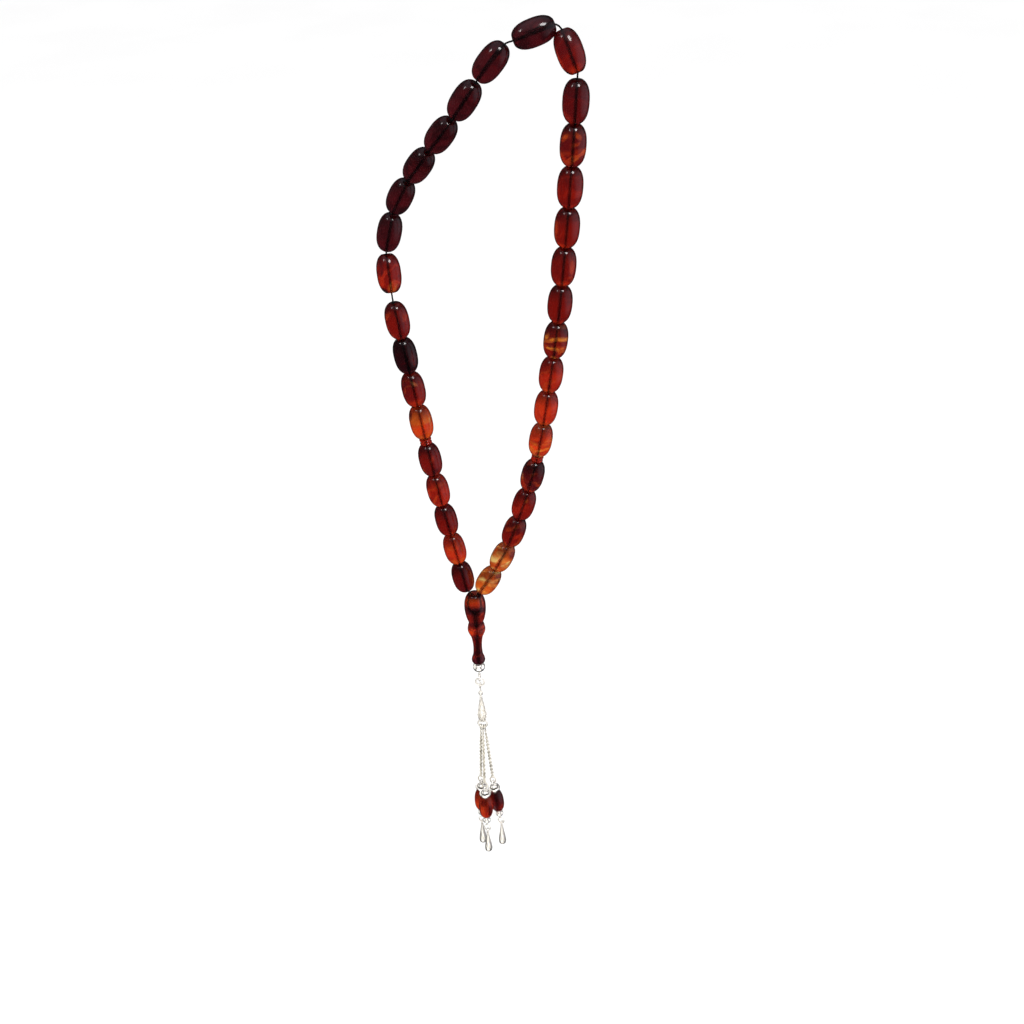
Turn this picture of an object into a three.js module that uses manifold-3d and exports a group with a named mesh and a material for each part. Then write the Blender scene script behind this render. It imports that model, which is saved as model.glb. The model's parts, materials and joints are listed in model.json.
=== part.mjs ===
// Misbaha: a 33-bead strand of amber prayer beads with an imame and a silver tassel.
//
// The strand hangs the way a hand holds it: two beads are held between finger and thumb, seven
// more lie in the palm, and the two free arms meet at the imame, with the tassel straight below.
// Millimetres, +Z up. The origin is the middle of the pinched bead. The two hanging arms lie in
// the plane Y = 0. Bead 01 is the lowest bead of the right arm; the numbers run up the right
// arm, through the held part and down the left arm to bead 33.

import * as THREE from "three";
import { mergeVertices } from "three/addons/utils/BufferGeometryUtils.js";
import ManifoldModule from "manifold-3d";

const wasm = await ManifoldModule();
wasm.setup();

// ---------------------------------------------------------------- driving dimensions

const CORD_DIAMETER = 0.6;
const CLEARANCE = 0.3; // between touching pieces, and around the cord in a bore
const BORE_RADIUS = CORD_DIAMETER / 2 + CLEARANCE;

const BEAD_LENGTH = 12.62;
const BEAD_RADIUS = 4.0;
const BEAD_END_RADIUS = 1.6; // the small flat round each end of the bore
const DISC_LENGTH = 2.0;
const DISC_RADIUS = 2.2;
const DISC_GROOVE_RADIUS = 1.75;

const RIGHT_GAP = 1.8; // bare cord between the right arm and the held beads
const LEFT_GAP = 2.3; // bare cord between the left arm and the held beads
const PINCH_GAPS = [2.5, 2.8]; // bare cord on either side of the pinched bead
const HELD_GAP = 1.25; // between the beads that lie curved in the palm

const BEADS_BELOW_DISC = 5;
const RIGHT_ARM_BEADS = 15;
const HELD_BEADS = 9;
const LEFT_ARM_BEADS = 9;

const ARMS_MEET = new THREE.Vector3(-25.8, 0, -202); // where both arms come down to the imame

// Heights below the meeting point of the arms.
const IMAME_TOP = -0.8;
const IMAME_BOTTOM = -34.95;
const IMAME_BORE_RADIUS = 1.0;
const CORD_TURN = -2.0; // the middle of the cord where one arm's string turns into the other's
const BALL_CENTRE = -37.15;
const BALL_RADIUS = 2.38;
const BALL_HALF_HEIGHT = 2.05;
const BALL_SOCKET_BOTTOM = -38.0;
const JUMP_RING_TOP = -43.4; // the wire's centre line, where the ring hangs in the ball's eye
const JUMP_RING_RADIUS = 1.75;
const DROP_TOP = -53.2;
const DROP_BOTTOM = -66.0;
const DROP_LOOP_RADIUS = 1.9;
const DROP_LOOP_BOTTOM = -69.5;
const CHAIN_RING_CENTRE = -99.5;

// Heights below the middle of a pendant's upper eye.
const TOP_CAP_TOP = -1.6;
const TASSEL_BEAD_TOP = -5.0;
const TASSEL_BEAD_LENGTH = 11.9;
const TASSEL_BEAD_RADIUS = 2.95;
const BOTTOM_CAP_LENGTH = 3.5;
const PIN_LOOP_CENTRE = -24.0;
const LEAF_LENGTH = 11.4;

const WIRE_RADIUS = 0.28; // eyes and pins
const RING_WIRE_RADIUS = 0.34; // jump ring and the drop's lower loop
const EYE_RADIUS = 0.95; // an eye's centre line, wide enough to swing on a ring's wire
const OVAL_RING_WIDTH = 1.2; // half the width of a chain's end ring and of a pin's lower loop
const OVAL_RING_STRETCH = 1.4; // how much taller than wide they are
const OVAL_RING_HEIGHT = OVAL_RING_WIDTH * OVAL_RING_STRETCH;
const CHAIN_RADIUS = 0.7;
const CHAIN_TAPER = 8.0; // the chains start thin, where all three crowd round the drop's loop
const CHAIN_SPREAD = 28; // degrees between neighbouring chains round the drop's loop

// The three pendants hang round the tassel's axis and push each other outward: each has its
// direction, its place on the drop's loop, the distance of its ring from the axis, how much
// longer its chain is, and how far it leans outward.
const PENDANTS = [
  { name: "front", azimuth: -88, place: 0, spacing: 3.65, longer: 0, lean: 0 },
  { name: "right", azimuth: 25, place: 1, spacing: 2.8, longer: 1.2, lean: 6 },
  { name: "left", azimuth: 145, place: -1, spacing: 3.4, longer: 2.3, lean: 3 },
];

const BEAD_SEGMENTS = 12;
const TURNED_SEGMENTS = 14;
const WIRE_SIDES = 8;
const RING_SIDES = 6;
const RING_STEPS = 12;
const CORD_SIDES = 8;

// ---------------------------------------------------------------- the strand's route

// Each arm's centre line as X and Z, from the imame upwards.
const RIGHT_ARM_ROUTE = [
  [-23.1, -201.3],
  [-17.0, -190.3],
  [-11.6, -178.5],
  [-5.4, -160.0],
  [-0.1, -140.2],
  [4.4, -113.6],
  [8.0, -87.8],
  [10.7, -62.0],
  [12.9, -36.1],
  [14.8, -9.4],
  [15.0, -5.0],
];
const LEFT_ARM_ROUTE = [
  [-28.7, -201.4],
  [-30.9, -188.8],
  [-34.6, -169.5],
  [-37.8, -150.4],
  [-39.9, -136.3],
  [-42.7, -115.5],
  [-45.3, -97.0],
  [-47.0, -83.6],
  [-47.4, -79.0],
];
// The held part, from the top of the right arm over the pinch and through the palm.
const HELD_ROUTE = [
  [12.1, 1.5, -2.5],
  [9.2, 3.0, 2.9],
  [6.4, 2.6, 3.6],
  [0.0, 0.0, 1.0],
  [-6.0, -3.0, -0.9],
  [-8.9, -4.0, -3.0],
  [-15.9, -4.0, -13.7],
  [-24.1, -3.0, -24.8],
  [-32.6, 0.0, -35.4],
  [-40.9, 3.0, -46.4],
  [-46.6, 5.2, -57.4],
  [-49.2, 4.6, -69.0],
];
// The cord where it leaves the lowest bead of the right arm, turns in the imame's mouth and
// goes up to the lowest bead of the left arm; X and Z from the meeting point.
const CORD_TURN_ROUTE = [
  [1.3, -0.2],
  [0.6, -1.4],
  [0.0, CORD_TURN],
  [-0.6, -1.4],
  [-1.6, -0.3],
];

// ---------------------------------------------------------------- materials

const finish = (color, roughness, metalness = 0) =>
  new THREE.MeshStandardMaterial({ color, roughness, metalness });

const AMBER_DARK = finish("#2e0807", 0.12);
const AMBER_RED = finish("#7c120a", 0.12);
const AMBER_ORANGE = finish("#c43a0c", 0.12);
const AMBER_MARBLED = finish("#c9641a", 0.12);
const DISC_AMBER = finish("#6e1a12", 0.3);
const BLACK_CORD = finish("#0b0a0a", 0.8);
const SILVER = finish("#d8d8d6", 0.2, 1);

const BEAD_COLOURS = [
  // right arm, from the imame upwards
  AMBER_MARBLED, AMBER_MARBLED, AMBER_RED, AMBER_RED, AMBER_DARK,
  AMBER_MARBLED, AMBER_ORANGE, AMBER_ORANGE, AMBER_RED, AMBER_RED,
  AMBER_RED, AMBER_RED, AMBER_RED, AMBER_MARBLED, AMBER_DARK,
  // the held beads
  AMBER_RED, AMBER_DARK, AMBER_DARK, AMBER_DARK, AMBER_DARK,
  AMBER_DARK, AMBER_RED, AMBER_RED, AMBER_ORANGE,
  // left arm, downwards
  AMBER_RED, AMBER_DARK, AMBER_RED, AMBER_MARBLED, AMBER_RED,
  AMBER_ORANGE, AMBER_DARK, AMBER_ORANGE, AMBER_DARK,
];
const TASSEL_BEAD_COLOURS = { front: AMBER_ORANGE, right: AMBER_DARK, left: AMBER_ORANGE };

// ---------------------------------------------------------------- helpers

/** A closed geometry as a solid that can be joined and cut. */
function solid(geometry) {
  const bare = geometry.index ? geometry.clone() : geometry;
  bare.deleteAttribute("normal");
  bare.deleteAttribute("uv");
  const merged = mergeVertices(bare, 1e-5);
  return new wasm.Manifold(
    new wasm.Mesh({
      numProp: 3,
      vertProperties: merged.attributes.position.array,
      triVerts: new Uint32Array(merged.index.array),
    }),
  );
}

/** The joined solids as one geometry. */
function joined(...geometries) {
  const whole = geometries.map(solid).reduce((a, b) => a.add(b));
  const mesh = whole.getMesh();
  const geometry = new THREE.BufferGeometry();
  geometry.setAttribute("position", new THREE.BufferAttribute(mesh.vertProperties, 3));
  geometry.setIndex(new THREE.BufferAttribute(mesh.triVerts, 1));
  geometry.computeVertexNormals();
  return geometry;
}

/** A turned piece about Z. The outline lists [radius, height] upwards on the outside. */
function turned(outline, segments = TURNED_SEGMENTS) {
  const points = outline.map(([radius, height]) => new THREE.Vector2(radius, height));
  return new THREE.LatheGeometry(points, segments).rotateX(Math.PI / 2);
}

/** A turned piece with a straight bore: the outline's ends are joined through the hole. */
function bored(outline, boreRadius, segments) {
  const bottom = outline[0][1];
  const top = outline[outline.length - 1][1];
  const ring = [[boreRadius, bottom], ...outline, [boreRadius, top], [boreRadius, bottom]];
  return turned(ring, segments);
}

/** A wire ring about the tassel's axis at a height, facing along Y or along X. */
function wireRing(radius, wire, height, facing = "y") {
  const ring = new THREE.TorusGeometry(radius, wire, RING_SIDES, RING_STEPS);
  if (facing === "y") ring.rotateX(Math.PI / 2);
  else ring.rotateY(Math.PI / 2);
  return ring.translate(0, 0, height);
}

/** An oval wire ring about Z at a height, taller than wide and facing along Y. */
function ovalRing(height) {
  const ring = wireRing(OVAL_RING_WIDTH, WIRE_RADIUS, 0).scale(1, 1, OVAL_RING_STRETCH);
  return ring.translate(0, 0, height);
}

/** Outline points of a ball squeezed along Z, between two angles above its waist. */
function ballOutline(radius, halfHeight, centre, from, to, steps) {
  return Array.from({ length: steps + 1 }, (_, i) => {
    const angle = THREE.MathUtils.degToRad(from + ((to - from) * i) / steps);
    return [radius * Math.cos(angle), centre + halfHeight * Math.sin(angle)];
  });
}

/** A shape about Z, moved to start at one point and run towards another. */
function pointed(shape, from, to) {
  const along = to.clone().sub(from).normalize();
  const turn = new THREE.Quaternion().setFromUnitVectors(new THREE.Vector3(0, 0, 1), along);
  return shape.applyQuaternion(turn).translate(...from.toArray());
}

/** A straight wire between two points. */
function wireBetween(from, to, wire) {
  const length = from.distanceTo(to);
  const rod = new THREE.CylinderGeometry(wire, wire, length, WIRE_SIDES).rotateX(Math.PI / 2);
  return pointed(rod.translate(0, 0, length / 2), from, to);
}

const onAxis = (height) => new THREE.Vector3(0, 0, height);

function named(name, geometry, material, position = new THREE.Vector3()) {
  const mesh = new THREE.Mesh(geometry, material);
  mesh.name = name;
  mesh.position.copy(position);
  return mesh;
}

// ---------------------------------------------------------------- beads and discs

/** An olive bead about Z: small flats at the ends and a full belly. */
function oliveBead(length, radius, endRadius) {
  const half = length / 2;
  const outline = [
    [endRadius, -half],
    [radius * 0.76, -half * 0.79],
    [radius * 0.95, -half * 0.42],
    [radius, 0],
    [radius * 0.95, half * 0.42],
    [radius * 0.76, half * 0.79],
    [endRadius, half],
  ];
  return bored(outline, BORE_RADIUS, BEAD_SEGMENTS);
}

const beadShape = oliveBead(BEAD_LENGTH, BEAD_RADIUS, BEAD_END_RADIUS);
const discShape = bored(
  [
    [DISC_RADIUS - 0.3, -DISC_LENGTH / 2],
    [DISC_RADIUS, -DISC_LENGTH / 3],
    [DISC_GROOVE_RADIUS, 0],
    [DISC_RADIUS, DISC_LENGTH / 3],
    [DISC_RADIUS - 0.3, DISC_LENGTH / 2],
  ],
  BORE_RADIUS,
  BEAD_SEGMENTS,
);

/** The first point of a curve past a start that lies a given straight distance from it. */
function stepAlong(curve, start, distance) {
  const from = curve.getPointAt(start);
  let low = start;
  let high = Math.min(1, start + (2 * distance) / curve.getLength());
  while (high - low > 1e-7) {
    const middle = (low + high) / 2;
    if (curve.getPointAt(middle).distanceTo(from) < distance) low = middle;
    else high = middle;
  }
  return high;
}

/** The end points of each bead or disc, one after the other along a curve. */
function thread(points, pieces) {
  const curve = new THREE.CatmullRomCurve3(points, false, "centripetal");
  curve.arcLengthDivisions = 2000;
  let place = 0;
  return pieces.map(({ length, gapAfter }) => {
    const end = stepAlong(curve, place, length);
    const ends = [curve.getPointAt(place), curve.getPointAt(end)];
    if (gapAfter) place = stepAlong(curve, end, gapAfter);
    return ends;
  });
}

/** An arm's pieces from the imame upwards: the beads, with the disc after the fifth. */
function armPieces(beadCount) {
  const pieces = Array.from({ length: beadCount }, () => ({
    length: BEAD_LENGTH,
    gapAfter: CLEARANCE,
  }));
  pieces.splice(BEADS_BELOW_DISC, 0, { length: DISC_LENGTH, gapAfter: CLEARANCE });
  pieces[pieces.length - 1].gapAfter = 0;
  return pieces;
}

/** A threaded piece: its shape's Z axis lies along the line between its ends. */
function threaded(name, shape, material, [start, end]) {
  const mesh = named(name, shape, material, start.clone().add(end).multiplyScalar(0.5));
  const along = end.clone().sub(start).normalize();
  mesh.quaternion.setFromUnitVectors(new THREE.Vector3(0, 0, 1), along);
  return mesh;
}

const inArmPlane = ([x, z]) => new THREE.Vector3(x, 0, z);
const rightEnds = thread(RIGHT_ARM_ROUTE.map(inArmPlane), armPieces(RIGHT_ARM_BEADS));
const leftEnds = thread(LEFT_ARM_ROUTE.map(inArmPlane), armPieces(LEFT_ARM_BEADS));

/** The point a given distance beyond an arm's top end, along its last bead. */
function beyond([start, end], distance) {
  return end.clone().add(end.clone().sub(start).setLength(distance));
}

const rightTop = rightEnds[rightEnds.length - 1];
const leftTop = leftEnds[leftEnds.length - 1];
const rightHinge = beyond(rightTop, RIGHT_GAP / 2);
const leftHinge = beyond(leftTop, LEFT_GAP / 2);
const heldStart = beyond(rightTop, RIGHT_GAP);

const heldGaps = [...PINCH_GAPS, ...Array(HELD_BEADS - 3).fill(HELD_GAP), 0];
const heldEnds = thread(
  [heldStart, ...HELD_ROUTE.map((point) => new THREE.Vector3(...point)), leftHinge],
  heldGaps.map((gapAfter) => ({ length: BEAD_LENGTH, gapAfter })),
);

// ---------------------------------------------------------------- cords

/** A route whose tube has its steps at the route's own points. */
class PointwiseRoute extends THREE.CatmullRomCurve3 {
  getUtoTmapping(u) {
    return u;
  }
}

function cord(points) {
  const route = new PointwiseRoute(points, false, "centripetal");
  const section = new THREE.Shape();
  for (let side = 0; side < CORD_SIDES; side += 1) {
    const angle = (2 * Math.PI * side) / CORD_SIDES;
    const x = (Math.cos(angle) * CORD_DIAMETER) / 2;
    const y = (Math.sin(angle) * CORD_DIAMETER) / 2;
    if (side === 0) section.moveTo(x, y);
    else section.lineTo(x, y);
  }
  return new THREE.ExtrudeGeometry(section, {
    steps: points.length - 1,
    extrudePath: route,
    curveSegments: 1,
  });
}

/** The point short of a hinge that leaves half a clearance between the two cords' ends. */
function shortOf(hinge, from) {
  return hinge.clone().add(from.clone().sub(hinge).setLength(CLEARANCE / 2));
}

const turnPoints = CORD_TURN_ROUTE.map(([x, z]) => ARMS_MEET.clone().add(new THREE.Vector3(x, 0, z)));
const hangingCord = cord([
  shortOf(rightHinge, rightTop[1]),
  ...rightEnds.flatMap(([low, high]) => [low, high]).reverse(),
  ...turnPoints,
  ...leftEnds.flat(),
  shortOf(leftHinge, leftTop[1]),
]);
const heldCord = cord([
  shortOf(rightHinge, heldStart),
  ...heldEnds.flat(),
  shortOf(leftHinge, heldEnds[HELD_BEADS - 1][1]),
]);

/** The doubled cord through the imame, both strings side by side. */
function doubledCord(top, bottom) {
  const radius = CORD_DIAMETER / 2;
  const section = new THREE.Shape();
  section.absarc(radius, 0, radius, -Math.PI / 2, Math.PI / 2, false);
  section.absarc(-radius, 0, radius, Math.PI / 2, (3 * Math.PI) / 2, false);
  const strings = new THREE.ExtrudeGeometry(section, {
    depth: top - bottom,
    bevelEnabled: false,
    curveSegments: 5,
  });
  return strings.translate(0, 0, bottom);
}

// ---------------------------------------------------------------- imame

const MOUTH_RADIUS = 1.5; // the bore opens out here, so that both strings lead in
const MOUTH_BOTTOM = -1.6;
const CHAMBER_RADIUS = 1.8; // a wider space under the mouth takes the bend of the strings
const CHAMBER_TOP = -2.3;
const CHAMBER_BOTTOM = -7.6;
const CHAMBER_TAPER = 0.8;

const imameShape = turned([
  [IMAME_BORE_RADIUS, IMAME_BOTTOM],
  [1.25, IMAME_BOTTOM],
  [2.1, -34.5],
  [2.63, -33.5],
  [1.95, -30.6],
  [1.7, -28.0],
  [1.85, -24.2],
  [2.3, -21.2],
  [3.1, -19.3],
  [3.42, -17.7],
  [3.2, -16.3],
  [2.75, -15.4],
  [2.75, -14.0],
  [3.3, -12.3],
  [3.9, -9.6],
  [4.1, -6.9],
  [3.8, -4.1],
  [2.95, -1.9],
  [1.95, IMAME_TOP],
  [MOUTH_RADIUS, IMAME_TOP],
  [MOUTH_RADIUS, MOUTH_BOTTOM],
  [CHAMBER_RADIUS, CHAMBER_TOP],
  [CHAMBER_RADIUS, CHAMBER_BOTTOM],
  [IMAME_BORE_RADIUS, CHAMBER_BOTTOM - CHAMBER_TAPER],
  [IMAME_BORE_RADIUS, IMAME_BOTTOM],
]);

// ---------------------------------------------------------------- tassel

/** The silver ball that takes the cord's ends, with a wire eye below. */
function tasselBall() {
  const skin = ballOutline(BALL_RADIUS, BALL_HALF_HEIGHT, BALL_CENTRE, -65, 62, 7);
  const ball = turned([
    [0, BALL_CENTRE - BALL_HALF_HEIGHT],
    ...skin,
    [IMAME_BORE_RADIUS, skin[skin.length - 1][1]],
    [IMAME_BORE_RADIUS, BALL_SOCKET_BOTTOM],
    [0, BALL_SOCKET_BOTTOM],
  ]);
  const eyeTop = JUMP_RING_TOP + EYE_RADIUS;
  const stem = wireBetween(onAxis(eyeTop), onAxis(BALL_SOCKET_BOTTOM - 0.5), WIRE_RADIUS);
  return joined(ball, stem, wireRing(EYE_RADIUS, WIRE_RADIUS, JUMP_RING_TOP, "x"));
}

const JUMP_RING_CENTRE = JUMP_RING_TOP - JUMP_RING_RADIUS;
const JUMP_RING_BOTTOM = JUMP_RING_CENTRE - JUMP_RING_RADIUS;
const DROP_LOOP_CENTRE = DROP_LOOP_BOTTOM + DROP_LOOP_RADIUS;

/** The filigree drop: an eye on top, a swelling body and a loop for the three chains. */
function filigreeDrop() {
  const body = turned([
    [0, DROP_BOTTOM],
    [1.15, DROP_BOTTOM],
    [1.5, DROP_BOTTOM + 1.0],
    [1.97, DROP_BOTTOM + 2.6],
    [1.95, DROP_BOTTOM + 3.6],
    [1.5, DROP_BOTTOM + 6.0],
    [1.15, DROP_BOTTOM + 8.5],
    [0.5, DROP_TOP],
    [0, DROP_TOP],
  ]);
  const knot = turned([
    [0, DROP_TOP + 1.4],
    [0.8, DROP_TOP + 2.0],
    [0.8, DROP_TOP + 2.6],
    [0, DROP_TOP + 3.2],
  ]);
  const neck = wireBetween(
    onAxis(DROP_TOP - 0.5),
    onAxis(JUMP_RING_BOTTOM - EYE_RADIUS),
    WIRE_RADIUS,
  );
  return joined(
    body,
    knot,
    neck,
    wireRing(EYE_RADIUS, WIRE_RADIUS, JUMP_RING_BOTTOM, "x"),
    wireRing(DROP_LOOP_RADIUS, RING_WIRE_RADIUS, DROP_LOOP_CENTRE),
  );
}

/** Where a chain's top eye hangs on the drop's loop. */
function chainTop(place) {
  const angle = THREE.MathUtils.degToRad(place * CHAIN_SPREAD);
  return new THREE.Vector3(
    DROP_LOOP_RADIUS * Math.sin(angle),
    0,
    DROP_LOOP_CENTRE - DROP_LOOP_RADIUS * Math.cos(angle),
  );
}

/** A chain as one leaning rod, with an eye on top and a ring below. */
function chain(top, ringCentre) {
  const from = top.clone().add(onAxis(-EYE_RADIUS));
  const to = ringCentre.clone().add(onAxis(OVAL_RING_HEIGHT));
  const length = from.distanceTo(to);
  const rod = turned(
    [
      [0, 0],
      [WIRE_RADIUS, 0],
      [CHAIN_RADIUS, CHAIN_TAPER],
      [CHAIN_RADIUS, length],
      [0, length],
    ],
    WIRE_SIDES,
  );
  return joined(
    wireRing(EYE_RADIUS - 0.05, WIRE_RADIUS - 0.03, 0, "x").translate(...top.toArray()),
    pointed(rod, from, to),
    ovalRing(0).translate(...ringCentre.toArray()),
  );
}

// A pendant's upper eye hangs on the chain ring's wire, and the leaf's eye hangs on the wire of
// the pin's lower loop.
const TASSEL_BEAD_BOTTOM = TASSEL_BEAD_TOP - TASSEL_BEAD_LENGTH;
const BOTTOM_CAP_TOP = TASSEL_BEAD_BOTTOM - CLEARANCE;
const BOTTOM_CAP_BOTTOM = BOTTOM_CAP_TOP - BOTTOM_CAP_LENGTH;
const LEAF_EYE = PIN_LOOP_CENTRE - OVAL_RING_HEIGHT;

function eyePin() {
  return joined(
    wireRing(EYE_RADIUS, WIRE_RADIUS, 0, "x"),
    wireBetween(onAxis(-EYE_RADIUS), onAxis(PIN_LOOP_CENTRE + OVAL_RING_HEIGHT), WIRE_RADIUS),
    ovalRing(PIN_LOOP_CENTRE),
  );
}

const CAP_BORE_RADIUS = WIRE_RADIUS + CLEARANCE;
const TOP_CAP_BOTTOM = TASSEL_BEAD_TOP + CLEARANCE;

// The upper cap is a round bowl over the bead's end with a small dome set in its top, and the
// lower one a small ball on a collar.
const topCapShape = bored(
  [
    [1.4, TOP_CAP_BOTTOM],
    ...ballOutline(2.45, 1.55, TOP_CAP_BOTTOM + 1.5, -52, 40, 6),
    [1.55, TOP_CAP_TOP - 0.52],
    [1.6, TOP_CAP_TOP - 0.3],
    [0.9, TOP_CAP_TOP],
  ],
  CAP_BORE_RADIUS,
  BEAD_SEGMENTS,
);
const bottomCapShape = bored(
  [
    [0.7, BOTTOM_CAP_BOTTOM],
    ...ballOutline(1.65, 1.3, BOTTOM_CAP_BOTTOM + 1.3, -62, 48, 5),
    [0.95, BOTTOM_CAP_TOP - 1.0],
    [1.35, BOTTOM_CAP_TOP - 0.5],
    [1.35, BOTTOM_CAP_TOP],
  ],
  CAP_BORE_RADIUS,
  BEAD_SEGMENTS,
);
const tasselBeadShape = oliveBead(TASSEL_BEAD_LENGTH, TASSEL_BEAD_RADIUS, 1.3);

/** The leaf at the end of a pendant, below the middle of its eye: a neck and a long bell. */
function leaf() {
  const top = -EYE_RADIUS - 0.6;
  const bottom = -EYE_RADIUS - LEAF_LENGTH;
  const body = turned([
    [0, bottom],
    [1.2, bottom + 0.1],
    [1.6, bottom + 0.9],
    [1.5, bottom + 2.8],
    [1.05, bottom + 6.2],
    [0.45, top],
    [0, top],
  ]);
  return joined(
    wireRing(EYE_RADIUS, WIRE_RADIUS, 0, "x"),
    wireBetween(onAxis(-EYE_RADIUS), onAxis(top - 0.5), WIRE_RADIUS),
    body,
  );
}

// ---------------------------------------------------------------- assembly

const misbaha = new THREE.Group();

const strand = [
  ...rightEnds.filter((_, i) => i !== BEADS_BELOW_DISC),
  ...heldEnds,
  ...leftEnds.filter((_, i) => i !== BEADS_BELOW_DISC).reverse(),
];
strand.forEach((ends, i) => {
  const name = "bead_" + String(i + 1).padStart(2, "0");
  misbaha.add(threaded(name, beadShape, BEAD_COLOURS[i], ends));
});
misbaha.add(
  threaded("spacer_disc_right", discShape, DISC_AMBER, rightEnds[BEADS_BELOW_DISC]),
  threaded("spacer_disc_left", discShape, DISC_AMBER, leftEnds[BEADS_BELOW_DISC]),
  named("hanging_cord", hangingCord, BLACK_CORD),
  named("held_cord", heldCord, BLACK_CORD),
);

const lower = new THREE.Group();
lower.position.copy(ARMS_MEET);
const cordTop = CORD_TURN - CORD_DIAMETER / 2 - CLEARANCE;
lower.add(
  named("imame", imameShape, AMBER_RED),
  named("imame_cord", doubledCord(cordTop, BALL_SOCKET_BOTTOM + CLEARANCE), BLACK_CORD),
  named("tassel_ball", tasselBall(), SILVER),
  named("jump_ring", wireRing(JUMP_RING_RADIUS, RING_WIRE_RADIUS, JUMP_RING_CENTRE), SILVER),
  named("filigree_drop", filigreeDrop(), SILVER),
);
PENDANTS.forEach(({ name, azimuth, place, spacing, longer, lean }) => {
  const angle = THREE.MathUtils.degToRad(azimuth);
  const outward = new THREE.Vector3(Math.cos(angle), Math.sin(angle), 0);
  const ringCentre = outward.clone().multiplyScalar(spacing).setZ(CHAIN_RING_CENTRE - longer);
  const pendant = new THREE.Group();
  pendant.position.copy(ringCentre).add(onAxis(-OVAL_RING_HEIGHT));
  const leanAxis = outward.clone().cross(onAxis(1));
  pendant.quaternion.setFromAxisAngle(leanAxis, THREE.MathUtils.degToRad(lean));
  const beadMiddle = onAxis((TASSEL_BEAD_TOP + TASSEL_BEAD_BOTTOM) / 2);
  pendant.add(
    named("eye_pin_" + name, eyePin(), SILVER),
    named("top_cap_" + name, topCapShape, SILVER),
    named("tassel_bead_" + name, tasselBeadShape, TASSEL_BEAD_COLOURS[name], beadMiddle),
    named("bottom_cap_" + name, bottomCapShape, SILVER),
  );
  const leafPlace = onAxis(LEAF_EYE).applyQuaternion(pendant.quaternion).add(pendant.position);
  lower.add(
    named("chain_" + name, chain(chainTop(place), ringCentre), SILVER),
    pendant,
    named("leaf_" + name, leaf(), SILVER, leafPlace), // the leaf hangs straight down
  );
});
misbaha.add(lower);

export default misbaha;
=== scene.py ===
"""Misbaha prayer beads: the looks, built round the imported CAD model.

Every amber, silver and string piece is a mesh made here in the place of its CAD node, with the
node's own centre and axis. Lengths named below are in millimetres and MM turns them into metres.
"""

import json
import math

import bpy
from mathutils import Matrix, Vector

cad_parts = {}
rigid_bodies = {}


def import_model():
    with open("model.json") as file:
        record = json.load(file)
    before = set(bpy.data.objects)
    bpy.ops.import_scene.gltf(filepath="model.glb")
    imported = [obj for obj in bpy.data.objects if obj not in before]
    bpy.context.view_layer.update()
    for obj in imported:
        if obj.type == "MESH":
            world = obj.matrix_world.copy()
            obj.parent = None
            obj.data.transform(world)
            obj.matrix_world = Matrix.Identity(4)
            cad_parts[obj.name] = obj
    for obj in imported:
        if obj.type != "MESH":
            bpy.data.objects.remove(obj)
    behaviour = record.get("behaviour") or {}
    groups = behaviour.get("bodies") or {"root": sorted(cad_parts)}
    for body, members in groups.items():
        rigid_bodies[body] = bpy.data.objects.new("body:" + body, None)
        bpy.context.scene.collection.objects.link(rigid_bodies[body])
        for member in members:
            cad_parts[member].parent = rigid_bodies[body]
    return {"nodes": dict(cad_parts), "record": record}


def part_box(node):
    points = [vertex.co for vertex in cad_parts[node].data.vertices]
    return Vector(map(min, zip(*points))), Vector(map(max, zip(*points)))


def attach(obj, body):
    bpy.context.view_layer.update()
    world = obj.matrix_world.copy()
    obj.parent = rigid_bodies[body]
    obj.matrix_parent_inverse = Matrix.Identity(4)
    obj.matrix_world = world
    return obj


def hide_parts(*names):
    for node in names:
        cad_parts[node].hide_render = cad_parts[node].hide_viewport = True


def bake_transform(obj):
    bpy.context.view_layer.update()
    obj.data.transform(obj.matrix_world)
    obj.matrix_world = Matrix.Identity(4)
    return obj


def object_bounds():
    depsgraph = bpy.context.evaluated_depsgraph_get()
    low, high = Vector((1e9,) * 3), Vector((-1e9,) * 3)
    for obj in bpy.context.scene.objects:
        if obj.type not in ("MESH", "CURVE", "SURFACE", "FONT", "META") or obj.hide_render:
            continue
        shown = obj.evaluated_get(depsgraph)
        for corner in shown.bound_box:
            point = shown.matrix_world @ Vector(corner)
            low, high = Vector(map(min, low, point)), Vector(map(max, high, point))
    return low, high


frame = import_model()
cad_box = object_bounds()

MM = 0.001
NODES = frame["nodes"]
BODY_OF = {n: b for b, nodes in frame["record"]["behaviour"]["bodies"].items() for n in nodes}
UP = Vector((0, 0, 1))
BACK = Vector((0, 1, 0))

# ---------------------------------------------------------------- camera

CAMERA_PLACE = Vector((74.8, -369.7, 93.8)) * MM  # from the pinch, which is the origin
CAMERA_HEADING = 12.9  # degrees, to the left of straight ahead
CAMERA_PITCH = 34.2  # degrees down
CAMERA_ROLL = -2.4
CAMERA_LENS = 45.0  # on a 36 mm sensor


def make_camera():
    data = bpy.data.cameras.new("camera")
    data.lens = CAMERA_LENS
    data.sensor_width = 36.0
    data.clip_start, data.clip_end = 0.01, 50
    camera = bpy.data.objects.new("camera", data)
    turn = (
        Matrix.Rotation(math.radians(CAMERA_HEADING), 4, "Z")
        @ Matrix.Rotation(math.radians(90 - CAMERA_PITCH), 4, "X")
        @ Matrix.Rotation(math.radians(CAMERA_ROLL), 4, "Z")
    )
    camera.matrix_world = Matrix.Translation(CAMERA_PLACE) @ turn
    bpy.context.scene.collection.objects.link(camera)
    bpy.context.scene.camera = camera


make_camera()

# ---------------------------------------------------------------- sizes shared with the CAD

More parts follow.
